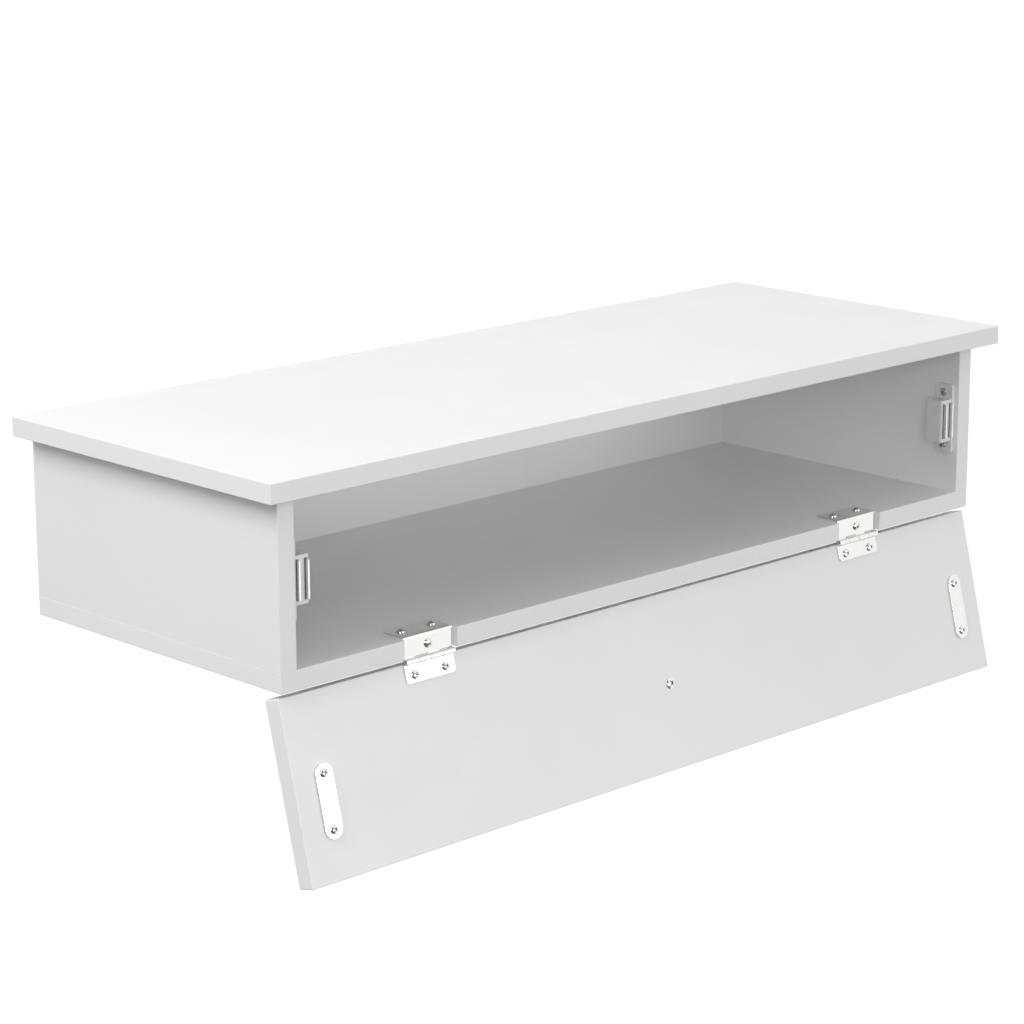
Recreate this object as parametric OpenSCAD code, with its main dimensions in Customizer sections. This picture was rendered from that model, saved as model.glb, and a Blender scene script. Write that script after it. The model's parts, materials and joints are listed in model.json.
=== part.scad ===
// Wall-hung flap desk in white board: a top over a shallow compartment with a drop-down flap.
// X runs along the desk, Y runs from the front to the wall, Z is up. The origin is the centre of
// the four wall screws, on the wall. The flap hangs open, its lower edge a little forward.

/* [Desk] */
// Width of the top board
desk_w = 800; // [650:5:1000]
// Depth of the top board, from the wall to its front edge
desk_d = 300; // [240:5:400]
// Clear height of the compartment
inner_h = 127; // [100:1:200]
// Thickness of the top, side, bottom and flap boards
board_t = 15; // [12:0.5:20]
// Thickness of the back board
back_t = 15; // [12:0.5:20]
// How far the top stands out past the body at each end
end_overhang = 17.5; // [5:0.5:40]
// How far the top stands out past the body at the front
front_overhang = 15; // [5:0.5:40]
// Thickness of the edge bands
band_t = 0.8; // [0.4:0.1:2]

/* [Flap] */
// Angle of the open flap from straight down, lower edge forward
flap_tilt = 14.2; // [0:0.1:80]
// Gap between the closed flap and the top board
flap_top_gap = 6.3; // [2:0.1:15]
// How much shorter the flap is than the body at each end
flap_end_gap = 0.5; // [0:0.1:3]
// Distance from the hinge pin to the flap's hinge edge
flap_edge_set = 1.2; // [1.2:0.1:4]
// Gap between the closed flap and the body
closed_gap = 0.4; // [0.3:0.1:1]

/* [Hinges] */
// Length of the knuckle and width of the leaves
hinge_w = 48; // [38:1:70]
// From the body's end to the middle of a hinge
hinge_inset = 142; // [60:1:170]
// Thickness of the leaves
leaf_t = 1.2; // [0.8:0.1:1.5]
// Gap between a screw head and the other leaf when the hinge is closed
closed_head_gap = 0.8; // [0.4:0.1:2]
// Radius of the hinge pin
pin_r = 1.2; // [0.8:0.05:1.5]
// Radial clearance between the pin and the knuckles
pin_fit = 0.05; // [0.02:0.01:0.1]
// How far the pin lies below the body
pin_drop = 2.5; // [2:0.1:5]
// Gap between two knuckles of one hinge
knuckle_gap = 0.2; // [0.1:0.05:0.5]
// Gap between a knuckle and the other leaf's plate
knuckle_relief = 0.4; // [0.3:0.1:1]
// Gap at each end of a hinge in its notch
notch_end_gap = 2; // [1:0.5:6]
// Length of the fixed leaf along the compartment's floor
floor_leaf_l = 22; // [18:1:40]
// Length of the moving leaf down the flap, from the pin
flap_leaf_l = 15.6; // [14.5:0.1:30]
// Distance between the two screws of a leaf
leaf_screw_pitch = 30; // [22:1:34]

/* [Magnetic catches] */
// Height of a catch's middle above the compartment's floor
catch_z = 63; // [45:1:90]
// How far a catch's case stands out from the side board
case_w = 17; // [15:0.5:24]
// Depth of the case, front to back
case_d = 17.5; // [15:0.5:30]
// Height of the case
case_h = 36; // [28:1:46]
// Thickness of the case's screw flange
flange_t = 4; // [2:0.5:5]
// Gap between a screw head and the case, up the flange
flange_head_gap = 1.5; // [0.5:0.5:4]
// Flange beyond a screw head
flange_end = 3.5; // [1:0.5:8]
// Thickness of a pole plate
pole_t = 1.6; // [1:0.1:2]
// Height of the case above and below the pole plates
pole_end = 3.5; // [2:0.5:6]
// Gap between the pole plates and the closed flap's strike plate
pole_gap = 0.3; // [0.2:0.1:1]
// Gap between the case and the strike plate's screw heads when the flap is closed
case_clear = 1.5; // [0.5:0.5:3]

/* [Strike plates] */
// Width of a strike plate
strike_w = 16; // [13:0.5:20]
// Strike plate beyond the middle of a screw
strike_end = 7; // [5.5:0.5:12]
// Thickness of a strike plate
strike_t = 1.5; // [1:0.1:2]
// Gap between a screw head and the pole plates, up the strike plate
strike_head_gap = 2.5; // [1:0.5:5]
// From the side board's inner face to the middle of the strike plate
strike_inset = 13; // [8:0.5:16]

/* [Knob] */
// From the flap's hinge edge to the knob
knob_s = 70; // [40:1:90]
// Radius of the knob's grip
knob_r = 14; // [10:0.5:20]
// Length of the grip
knob_grip_l = 9; // [6:0.5:12]
// Radius of the knob's foot
knob_foot_r = 8.5; // [6.5:0.5:12]
// Thickness of the foot
knob_foot_l = 2.5; // [1.5:0.5:4]
// Radius of the neck
knob_neck_r = 6; // [4:0.5:8]
// How far the knob stands out of the flap
knob_l = 24; // [18:0.5:40]

/* [Screws and dowels] */
// Head radius of the wood screws
head_r = 3.5; // [2.8:0.1:4.2]
// Head height of the wood screws
head_h = 1.8; // [1.4:0.1:2.4]
// Shank radius of the wood screws
shank_r = 1.5; // [1.2:0.1:1.8]
// Length of the screws into the face of a board
face_screw_l = 12; // [8:0.5:12.5]
// Length of the screws into the edge of a board
edge_screw_l = 16; // [12:1:30]
// Clearance round every screw, on the radius
screw_fit = 0.05; // [0.02:0.01:0.3]
// Radius of the dowels
dowel_r = 3; // [2.5:0.5:4]
// Length of a dowel in the edge of a board
dowel_edge_l = 20; // [15:1:22]
// Length of a dowel in the face of a board
dowel_face_l = 9; // [6:0.5:10]
// Clearance round the dowels, on the radius
dowel_fit = 0.05; // [0.02:0.01:0.3]

/* [Wall fixing] */
// Radius of the wall screw holes
wall_hole_r = 2.75; // [2:0.25:4]
// From the back board's end to a wall screw
wall_screw_inset = 67.5; // [40:0.5:120]
// From the top board's underside to the upper wall screws
wall_screw_drop = 22; // [12:1:35]
// Height between the upper and the lower wall screws
wall_screw_pitch = 50; // [30:1:60]

/* [Hidden] */
$fn = 64;
eps = 0.01;
left = -1;
right = 1;

// The body and its levels
body_w = desk_w - 2 * end_overhang;
body_d = desk_d - front_overhang;
inner_w = body_w - 2 * board_t;
under_z = wall_screw_drop + wall_screw_pitch / 2;
top_z = under_z + board_t;
floor_z = under_z - inner_h;
base_z = floor_z - board_t;

// The hinges: the knuckle leaves room for the screw heads between the closed leaves, and the pin
// lies so that the flap closes closed_gap from the body
knuckle_r = leaf_t + (head_h + closed_head_gap) / 2;
notch_depth = 2 * knuckle_r - closed_gap;
notch_w = hinge_w + 2 * notch_end_gap;
pin_y = -body_d + notch_depth - knuckle_r;
pin_z = base_z - pin_drop;
knuckles = 4;
knuckle_pitch = (hinge_w + knuckle_gap) / knuckles;
knuckle_l = knuckle_pitch - knuckle_gap;
leaf_face = knuckle_r - leaf_t;
leaf_start = knuckle_r + knuckle_relief;
floor_level = floor_z - pin_z;
leaf_corner_r = 2.5;
edge_screw_z = floor_level - board_t / 2;
floor_screw_y = knuckle_r + floor_leaf_l * 0.55;
flap_screw_z = (flap_leaf_l + leaf_start) * 0.55;
pin_end = 0.3;

// The flap, in its own frame: origin on the pin, hanging straight down
flap_w = body_w - 2 * flap_end_gap;
flap_l = under_z - pin_z - flap_edge_set - flap_top_gap;
flap_face = knuckle_r;

// The catches: the pole plates stop pole_gap short of the closed strike plates
case_wall = 1.8;
case_corner_r = 2;
slot_gap = 0.7;
pocket_rim = 1.3;
pocket_depth = 1;
magnet_inset = 2;
pole_reach = head_h + case_clear - pole_gap;
pole_y = pin_y - flap_face + strike_t + pole_gap;
case_y = pole_y + pole_reach;
pole_x = [flange_t + slot_gap + pole_t / 2, case_w - case_wall - slot_gap - pole_t / 2];
pole_h = case_h - 2 * pole_end;
pole_back = case_d - case_wall - magnet_inset;
catch_screw_pitch = case_h + 2 * (head_r + flange_head_gap);
flange_h = catch_screw_pitch + 2 * (head_r + flange_end);

// The strike plates: their screws clear the pole plates, and their middle meets the catches'
strike_screw_pitch = pole_h + 2 * (head_r + strike_head_gap);
strike_l = strike_screw_pitch + 2 * strike_end;
strike_z = catch_z + floor_z - pin_z;

// Screws and dowels
tip_l = 3;
cross_l = 3.6;
cross_w = 0.8;
cross_depth = 1.1;
knob_screw_r = 2;
knob_head_r = 5;
knob_head_h = 1.8;
knob_screw_fit = 0.25;
knob_thread_l = 9;
dowel_end_gap = 0.5;
dowel_inset = 40;
back_dowel_inset = 40;

module at_hinge(side) {
    translate([side * (body_w / 2 - hinge_inset), pin_y, pin_z]) children();
}

// Places the flap's own frame at its open angle
module on_flap() {
    translate([0, pin_y, pin_z]) rotate([-flap_tilt, 0, 0]) children();
}

module on_flap_hinge(side) {
    on_flap() translate([side * (body_w / 2 - hinge_inset), 0, 0]) children();
}

// A catch's frame: X points into the compartment, Y to the wall, origin on the side board
module at_catch(side) {
    translate([side * inner_w / 2, case_y, catch_z + floor_z])
        mirror([side == right ? 1 : 0, 0, 0]) children();
}

module on_flap_strike(side) {
    on_flap() translate([side * (inner_w / 2 - strike_inset), flap_face, -strike_z]) children();
}

module box(low, high) {
    translate(low) cube(high - low);
}

// Plate in XZ from the origin to thick along Y, with rounded corners at its low end
module tongue(w, z_low, z_high, thick, corner_r) {
    box([-w / 2, 0, z_low + corner_r], [w / 2, thick, z_high]);
    box([-w / 2 + corner_r, 0, z_low], [w / 2 - corner_r, thick, z_low + corner_r + eps]);
    for (end = [-1, 1])
        translate([end * (w / 2 - corner_r), 0, z_low + corner_r])
            rotate([-90, 0, 0]) cylinder(r = corner_r, h = thick);
}

// Screw along Z: the head's seat is at z = 0 and the shank points down
module screw(r, h, shank, length, tip) {
    difference() {
        intersection() {
            cylinder(r = r, h = h);
            translate([0, 0, h - 2 * r]) sphere(r = 2 * r);
        }
        for (turn = [0, 90])
            rotate([0, 0, turn + 45])
                box([-cross_l * r / head_r / 2, -cross_w * r / head_r / 2, h - cross_depth],
                    [cross_l * r / head_r / 2, cross_w * r / head_r / 2, h + eps]);
    }
    translate([0, 0, tip - length]) cylinder(r = shank, h = length - tip + eps);
    if (tip > 0)
        translate([0, 0, -length]) cylinder(r1 = shank / 4, r2 = shank, h = tip + eps);
}

module wood_screw(length) {
    screw(head_r, head_h, shank_r, length, tip_l);
}

// Hole for a wood screw, in a leaf or in a board
module screw_hole(length) {
    translate([0, 0, -length - screw_fit]) cylinder(r = shank_r + screw_fit, h = length + screw_fit + eps);
}

// Turns a Z screw so that its head faces the front
module facing_front() {
    rotate([90, 0, 0]) children();
}

// Where the screws of one hinge go; children(0) is a floor screw, children(1) an edge screw
module hinge_body_screw_places() {
    for (end = [-1, 1])
        translate([end * leaf_screw_pitch / 2, floor_screw_y, floor_level + leaf_t]) children(0);
    translate([0, leaf_face, edge_screw_z]) facing_front() children(1);
}

module hinge_flap_screw_places() {
    for (end = [-1, 1])
        translate([end * leaf_screw_pitch / 2, leaf_face, -flap_screw_z]) facing_front() children();
}

module catch_screw_places() {
    for (end = [-1, 1])
        translate([flange_t, case_d / 2, end * catch_screw_pitch / 2]) rotate([0, 90, 0]) children();
}

module strike_screw_places() {
    for (end = [-1, 1])
        translate([0, -strike_t, end * strike_screw_pitch / 2]) facing_front() children();
}

// A dowel along Z from the face hole's floor below z = 0 to the edge hole above it
module dowel() {
    translate([0, 0, -dowel_face_l]) cylinder(r = dowel_r, h = dowel_face_l + dowel_edge_l);
}

module dowel_hole() {
    translate([0, 0, -dowel_face_l])
        cylinder(r = dowel_r + dowel_fit, h = dowel_face_l + dowel_edge_l + dowel_end_gap);
}

// The dowels at the joint on the bottom board: three in each side and three in the back
module base_dowel_places() {
    side_y = [-body_d + dowel_inset, -(body_d + back_t) / 2, -back_t - dowel_inset];
    for (side = [left, right], y = side_y)
        translate([side * (body_w - board_t) / 2, y, floor_z]) children();
    for (x = [-1, 0, 1] * (inner_w / 2 - wall_screw_inset - back_dowel_inset))
        translate([x, -back_t / 2, floor_z]) children();
}

// The same under the top board
module top_dowel_places() {
    translate([0, 0, under_z + floor_z]) mirror([0, 0, 1]) base_dowel_places() children();
}

// Two between the back board and each side
module back_dowel_places() {
    for (side = [left, right], z = [back_dowel_inset, inner_h - back_dowel_inset])
        translate([side * inner_w / 2, -back_t / 2, floor_z + z])
            rotate([0, -side * 90, 0]) children();
}

module top_panel() {
    color("white") difference() {
        box([-desk_w / 2 + band_t, -desk_d + band_t, under_z], [desk_w / 2 - band_t, 0, top_z]);
        top_dowel_places() dowel_hole();
    }
}

module top_edge_bands() {
    color("whitesmoke") {
        box([-desk_w / 2, -desk_d, under_z], [desk_w / 2, -desk_d + band_t, top_z]);
        for (side = [0, 1]) mirror([side, 0, 0])
            box([desk_w / 2 - band_t, -desk_d + band_t, under_z], [desk_w / 2, 0, top_z]);
    }
}

module side_panel(side) {
    color("white") difference() {
        mirror([side == left ? 1 : 0, 0, 0])
            box([inner_w / 2, -body_d + band_t, floor_z], [body_w / 2, 0, under_z]);
        base_dowel_places() dowel_hole();
        top_dowel_places() dowel_hole();
        back_dowel_places() dowel_hole();
        at_catch(side) catch_screw_places() screw_hole(face_screw_l);
    }
}

module side_edge_band(side) {
    color("whitesmoke") mirror([side == left ? 1 : 0, 0, 0])
        box([inner_w / 2, -body_d, floor_z], [body_w / 2, -body_d + band_t, under_z]);
}

// The notch in the bottom board's front edge that takes a hinge
module hinge_notches() {
    for (side = [left, right]) at_hinge(side)
        box([-notch_w / 2, -notch_depth, -pin_drop], [notch_w / 2, knuckle_r, floor_level + eps]);
}

module bottom_panel() {
    color("white") difference() {
        box([-body_w / 2 + band_t, -body_d + band_t, base_z], [body_w / 2 - band_t, 0, floor_z]);
        hinge_notches();
        base_dowel_places() dowel_hole();
        for (side = [left, right]) at_hinge(side) hinge_body_screw_places() {
            screw_hole(face_screw_l);
            screw_hole(edge_screw_l);
        }
    }
}

module bottom_edge_bands() {
    color("whitesmoke") {
        difference() {
            box([-body_w / 2, -body_d, base_z], [body_w / 2, -body_d + band_t, floor_z]);
            hinge_notches();
        }
        for (side = [0, 1]) mirror([side, 0, 0])
            box([body_w / 2 - band_t, -body_d + band_t, base_z], [body_w / 2, 0, floor_z]);
    }
}

module back_panel() {
    color("white") difference() {
        box([-inner_w / 2, -back_t, floor_z], [inner_w / 2, 0, under_z]);
        for (side = [-1, 1], level = [-1, 1])
            translate([side * (inner_w / 2 - wall_screw_inset), eps, level * wall_screw_pitch / 2])
                rotate([90, 0, 0]) cylinder(r = wall_hole_r, h = back_t + 2 * eps);
        base_dowel_places() dowel_hole();
        top_dowel_places() dowel_hole();
        back_dowel_places() dowel_hole();
    }
}

module top_dowels() {
    color("burlywood") top_dowel_places() dowel();
}

module bottom_dowels() {
    color("burlywood") base_dowel_places() dowel();
}

module back_dowels() {
    color("burlywood") back_dowel_places() dowel();
}

// The knuckles numbered in which, with their bore
module knuckle_set(which) {
    for (i = which)
        translate([-hinge_w / 2 + i * knuckle_pitch, 0, 0]) rotate([0, 90, 0])
            cylinder(r = knuckle_r, h = knuckle_l);
}

module pin_bore() {
    translate([-hinge_w / 2 - eps, 0, 0]) rotate([0, 90, 0])
        cylinder(r = pin_r + pin_fit, h = hinge_w + 2 * eps);
}

// Web that joins each knuckle in which to its leaf's plate, up from the pin
module knuckle_webs(which) {
    for (i = which)
        box([-hinge_w / 2 + i * knuckle_pitch, leaf_face, 0],
            [-hinge_w / 2 + i * knuckle_pitch + knuckle_l, knuckle_r, leaf_start + eps]);
}

// Bent leaf: down the notch in front, then over the edge and along the floor
module fixed_leaf(side) {
    color("silver") at_hinge(side) difference() {
        union() {
            knuckle_set([1, 3]);
            knuckle_webs([1, 3]);
            box([-hinge_w / 2, leaf_face, leaf_start], [hinge_w / 2, knuckle_r, floor_level]);
            intersection() {
                translate([-hinge_w / 2, knuckle_r, floor_level]) rotate([0, 90, 0])
                    cylinder(r = leaf_t, h = hinge_w);
                box([-hinge_w / 2, leaf_face, floor_level], [hinge_w / 2, knuckle_r, floor_level + leaf_t]);
            }
            translate([0, knuckle_r, floor_level]) rotate([90, 0, 0])
                tongue(hinge_w, -floor_leaf_l, 0, leaf_t, leaf_corner_r);
        }
        pin_bore();
        hinge_body_screw_places() {
            screw_hole(2 * leaf_t);
            screw_hole(2 * leaf_t);
        }
    }
}

module moving_leaf(side) {
    color("silver") on_flap_hinge(side) difference() {
        union() {
            knuckle_set([0, 2]);
            mirror([0, 0, 1]) knuckle_webs([0, 2]);
            translate([0, leaf_face, 0])
                tongue(hinge_w, -flap_leaf_l, -leaf_start, leaf_t, leaf_corner_r);
        }
        pin_bore();
        hinge_flap_screw_places() screw_hole(2 * leaf_t);
    }
}

module hinge_pin(side) {
    color("silver") at_hinge(side) translate([-hinge_w / 2 - pin_end, 0, 0])
        rotate([0, 90, 0]) cylinder(r = pin_r, h = hinge_w + 2 * pin_end);
}

module hinge_body_screws(side) {
    color("gainsboro") at_hinge(side) hinge_body_screw_places() {
        wood_screw(face_screw_l);
        wood_screw(edge_screw_l);
    }
}

module hinge_flap_screws(side) {
    color("gainsboro") on_flap_hinge(side) hinge_flap_screw_places() wood_screw(face_screw_l);
}

// Moulded case, open towards the side board, with a slot in front for each pole plate
module catch_case(side) {
    slot_h = pole_h + 2 * slot_gap;
    color("white") at_catch(side) difference() {
        union() {
            translate([0, case_d / 2, 0]) flange();
            box([0, 0, -case_h / 2], [case_w - case_corner_r, case_d, case_h / 2]);
            box([0, case_corner_r, -case_h / 2], [case_w, case_d - case_corner_r, case_h / 2]);
            for (y = [case_corner_r, case_d - case_corner_r])
                translate([case_w - case_corner_r, y, -case_h / 2]) cylinder(r = case_corner_r, h = case_h);
        }
        box([-eps, case_wall, -slot_h / 2], [case_w - case_wall, case_d - case_wall, slot_h / 2]);
        for (x = pole_x)
            box([x - pole_t / 2 - slot_gap, -eps, -slot_h / 2],
                [x + pole_t / 2 + slot_gap, case_wall + eps, slot_h / 2]);
        for (end = [0, 1]) mirror([0, 0, end])
            box([flange_t, pocket_rim, case_h / 2 - pocket_depth],
                [case_w - case_corner_r, case_d - pocket_rim, case_h / 2 + eps]);
        catch_screw_places() screw_hole(2 * flange_t);
    }
}

// The flange lies on the side board, with rounded corners
module flange() {
    corner = case_corner_r + 1;
    width = case_d + 1;
    box([0, -width / 2 + corner, -flange_h / 2], [flange_t, width / 2 - corner, flange_h / 2]);
    box([0, -width / 2, -flange_h / 2 + corner], [flange_t, width / 2, flange_h / 2 - corner]);
    for (y = [-1, 1], z = [-1, 1])
        translate([0, y * (width / 2 - corner), z * (flange_h / 2 - corner)])
            rotate([0, 90, 0]) cylinder(r = corner, h = flange_t);
}

module catch_pole_plates(side) {
    color("lightgray") at_catch(side) for (x = pole_x)
        box([x - pole_t / 2, -pole_reach, -pole_h / 2], [x + pole_t / 2, pole_back, pole_h / 2]);
}

// Block magnet, held between the two pole plates
module catch_magnet(side) {
    color("dimgray") at_catch(side)
        box([pole_x[0] + pole_t / 2, case_wall + slot_gap, -pole_h / 2 + magnet_inset],
            [pole_x[1] - pole_t / 2, pole_back, pole_h / 2 - magnet_inset]);
}

module catch_screws(side) {
    color("gainsboro") at_catch(side) catch_screw_places() wood_screw(face_screw_l);
}

module flap_panel() {
    color("white") difference() {
        on_flap() box([-flap_w / 2 + band_t, flap_face, -flap_edge_set - flap_l + band_t],
                      [flap_w / 2 - band_t, flap_face + board_t, -flap_edge_set - band_t]);
        for (side = [left, right]) {
            on_flap_hinge(side) hinge_flap_screw_places() screw_hole(face_screw_l);
            on_flap_strike(side) strike_screw_places() screw_hole(face_screw_l);
        }
        on_flap() translate([0, flap_face + board_t / 2, -flap_edge_set - knob_s]) rotate([90, 0, 0])
            cylinder(r = knob_screw_r + knob_screw_fit, h = board_t + 2 * eps, center = true);
    }
}

// Bands round all four edges; the long ones cover the ends of the short ones
module flap_edge_bands() {
    color("whitesmoke") on_flap() translate([0, flap_face, -flap_edge_set - flap_l / 2])
        for (end = [0, 1]) {
            mirror([0, 0, end])
                box([-flap_w / 2, 0, flap_l / 2 - band_t], [flap_w / 2, board_t, flap_l / 2]);
            mirror([end, 0, 0])
                box([flap_w / 2 - band_t, 0, -flap_l / 2 + band_t], [flap_w / 2, board_t, flap_l / 2 - band_t]);
        }
}

module strike_plate(side) {
    color("silver") on_flap_strike(side) difference() {
        translate([0, -strike_t, 0]) {
            box([-strike_w / 2, 0, -(strike_l - strike_w) / 2], [strike_w / 2, strike_t, (strike_l - strike_w) / 2]);
            for (end = [-1, 1])
                translate([0, 0, end * (strike_l - strike_w) / 2]) rotate([-90, 0, 0])
                    cylinder(r = strike_w / 2, h = strike_t);
        }
        strike_screw_places() screw_hole(2 * strike_t);
    }
}

module strike_screws(side) {
    color("gainsboro") on_flap_strike(side) strike_screw_places() wood_screw(face_screw_l);
}

// Turned knob on the flap's outer face: foot, neck and crowned grip
module knob() {
    crown_r = 2 * knob_r;
    color("silver") on_flap() translate([0, flap_face + board_t, -flap_edge_set - knob_s])
        rotate([-90, 0, 0]) difference() {
            union() {
                cylinder(r = knob_foot_r, h = knob_foot_l);
                cylinder(r = knob_neck_r, h = knob_l - knob_grip_l + eps);
                intersection() {
                    translate([0, 0, knob_l - knob_grip_l]) cylinder(r = knob_r, h = knob_grip_l);
                    translate([0, 0, knob_l - crown_r]) sphere(r = crown_r);
                }
            }
            translate([0, 0, -eps]) cylinder(r = knob_screw_r + screw_fit, h = knob_thread_l + 1);
        }
}

// Machine screw from inside the flap into the knob
module knob_screw() {
    color("gainsboro") on_flap() translate([0, flap_face, -flap_edge_set - knob_s]) facing_front()
        screw(knob_head_r, knob_head_h, knob_screw_r, board_t + knob_thread_l, 0);
}

top_panel();
side_panel(left);  // left_side_panel
side_panel(right);  // right_side_panel
bottom_panel();
back_panel();
top_edge_bands();
side_edge_band(left);  // left_side_edge_band
side_edge_band(right);  // right_side_edge_band
bottom_edge_bands();
top_dowels();
bottom_dowels();
back_dowels();
fixed_leaf(left);  // left_hinge_fixed_leaf
fixed_leaf(right);  // right_hinge_fixed_leaf
hinge_pin(left);  // left_hinge_pin
hinge_pin(right);  // right_hinge_pin
hinge_body_screws(left);  // left_hinge_body_screws
hinge_body_screws(right);  // right_hinge_body_screws
catch_case(left);  // left_catch_case
catch_case(right);  // right_catch_case
catch_magnet(left);  // left_catch_magnet
catch_magnet(right);  // right_catch_magnet
catch_pole_plates(left);  // left_catch_pole_plates
catch_pole_plates(right);  // right_catch_pole_plates
catch_screws(left);  // left_catch_screws
catch_screws(right);  // right_catch_screws
flap_panel();
flap_edge_bands();
moving_leaf(left);  // left_hinge_moving_leaf
moving_leaf(right);  // right_hinge_moving_leaf
hinge_flap_screws(left);  // left_hinge_flap_screws
hinge_flap_screws(right);  // right_hinge_flap_screws
strike_plate(left);  // left_strike_plate
strike_plate(right);  // right_strike_plate
strike_screws(left);  // left_strike_screws
strike_screws(right);  // right_strike_screws
knob();
knob_screw();
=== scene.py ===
import json
import math
import random
import bpy
import bmesh
from mathutils import Matrix, Vector


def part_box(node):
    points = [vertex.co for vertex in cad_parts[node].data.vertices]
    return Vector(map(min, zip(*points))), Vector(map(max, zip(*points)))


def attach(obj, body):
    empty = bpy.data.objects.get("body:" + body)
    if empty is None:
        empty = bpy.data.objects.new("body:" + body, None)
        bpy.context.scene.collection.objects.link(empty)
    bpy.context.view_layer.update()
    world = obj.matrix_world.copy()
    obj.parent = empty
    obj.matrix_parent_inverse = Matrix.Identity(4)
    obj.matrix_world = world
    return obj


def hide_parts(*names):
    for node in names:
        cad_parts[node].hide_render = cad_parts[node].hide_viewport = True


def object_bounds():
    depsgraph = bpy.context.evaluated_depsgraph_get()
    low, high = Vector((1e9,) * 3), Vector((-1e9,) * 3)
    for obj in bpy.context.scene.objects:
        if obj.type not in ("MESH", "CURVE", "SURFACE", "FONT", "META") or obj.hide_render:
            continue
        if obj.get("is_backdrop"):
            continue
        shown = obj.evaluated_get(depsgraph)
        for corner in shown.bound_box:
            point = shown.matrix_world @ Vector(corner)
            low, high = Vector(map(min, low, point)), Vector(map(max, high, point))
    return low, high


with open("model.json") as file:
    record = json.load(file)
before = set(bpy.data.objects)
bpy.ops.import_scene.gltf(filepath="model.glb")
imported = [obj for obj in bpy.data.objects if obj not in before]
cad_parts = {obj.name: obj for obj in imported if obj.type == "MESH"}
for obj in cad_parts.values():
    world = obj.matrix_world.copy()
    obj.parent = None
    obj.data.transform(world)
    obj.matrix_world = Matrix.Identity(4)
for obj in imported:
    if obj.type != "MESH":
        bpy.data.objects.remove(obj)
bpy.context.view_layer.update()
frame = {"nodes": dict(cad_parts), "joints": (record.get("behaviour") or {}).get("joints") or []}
nodes = frame["nodes"]
mm = 0.001


# ---- Boards ----------------------------------------------------------------------------------
# Top, two sides, bottom, back and flap are 15 mm fibreboard, sawn to size, drilled for dowels
# and screws, and faced on both sides with a hard white laminate. Its satin face has a fine
# pearl grain, pressed in, which breaks up the light.
board_dark = (0.872, 0.873, 0.873)
board_light = (0.892, 0.892, 0.890)
board_rough = 0.42
cloud_scale = 5
fibre_scale = 420
handling_scale = 24
pearl_scale = 900
fine_pearl_scale = 2600
pearl_height = 0.03 * mm
tone_span = (0.35, 0.65)
level_span = (0.3, 0.7)


def new_material(name):
    made = bpy.data.materials.new(name)
    made.use_nodes = True
    return made, made.node_tree, made.node_tree.nodes["Principled BSDF"]


def grain(tree, scale, detail=2.0, stretch=(1, 1, 1)):
    """Noise with this many grains to a metre, drawn out where stretch is under 1."""
    place = tree.nodes.new("ShaderNodeTexCoord")
    drawn = tree.nodes.new("ShaderNodeMapping")
    drawn.inputs["Scale"].default_value = stretch
    noise = tree.nodes.new("ShaderNodeTexNoise")
    noise.inputs["Scale"].default_value = scale
    noise.inputs["Detail"].default_value = detail
    tree.links.new(place.outputs["Object"], drawn.inputs["Vector"])
    tree.links.new(drawn.outputs["Vector"], noise.inputs["Vector"])
    return noise.outputs["Fac"]


def mingled(tree, first, second, share):
    """Two patterns laid over each other, share of the second and the rest of the first."""
    mix = tree.nodes.new("ShaderNodeMix")
    mix.inputs["Factor"].default_value = share
    tree.links.new(first, mix.inputs["A"])
    tree.links.new(second, mix.inputs["B"])
    return mix.outputs["Result"]


def tones(tree, value, dark, light, socket):
    """Colours a pattern from dark to light over the middle of its range."""
    ramp = tree.nodes.new("ShaderNodeValToRGB")
    for stop, position, colour in zip(ramp.color_ramp.elements, tone_span, (dark, light)):
        stop.position = position
        stop.color = (*colour, 1)
    tree.links.new(value, ramp.inputs["Fac"])
    tree.links.new(ramp.outputs["Color"], socket)


def level(tree, value, low, high, socket):
    """Turns a pattern into a number between low and high."""
    span = tree.nodes.new("ShaderNodeMapRange")
    span.inputs["From Min"].default_value = level_span[0]
    span.inputs["From Max"].default_value = level_span[1]
    span.inputs["To Min"].default_value = low
    span.inputs["To Max"].default_value = high
    tree.links.new(value, span.inputs["Value"])
    tree.links.new(span.outputs["Result"], socket)


def bumps(tree, shader, value, height):
    bump = tree.nodes.new("ShaderNodeBump")
    bump.inputs["Distance"].default_value = height
    tree.links.new(value, bump.inputs["Height"])
    tree.links.new(bump.outputs["Normal"], shader.inputs["Normal"])


def laminate():
    made, tree, shader = new_material("white_laminate")
    cloud = grain(tree, cloud_scale)
    fibre = grain(tree, fibre_scale, 3.0)
    tones(tree, mingled(tree, cloud, fibre, 0.4), board_dark, board_light, shader.inputs["Base Color"])
    handling = grain(tree, handling_scale, 4.0)
    level(tree, handling, board_rough - 0.05, board_rough + 0.06, shader.inputs["Roughness"])
    pearl = mingled(tree, grain(tree, pearl_scale, 1.0), grain(tree, fine_pearl_scale, 1.0), 0.35)
    bumps(tree, shader, pearl, pearl_height)
    return made


def finish_node(node, material):
    nodes[node].data.materials.clear()
    nodes[node].data.materials.append(material)


board_face = laminate()
for board in ("top_panel", "left_side_panel", "right_side_panel", "bottom_panel", "back_panel",
              "flap_panel"):
    finish_node(board, board_face)


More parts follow.
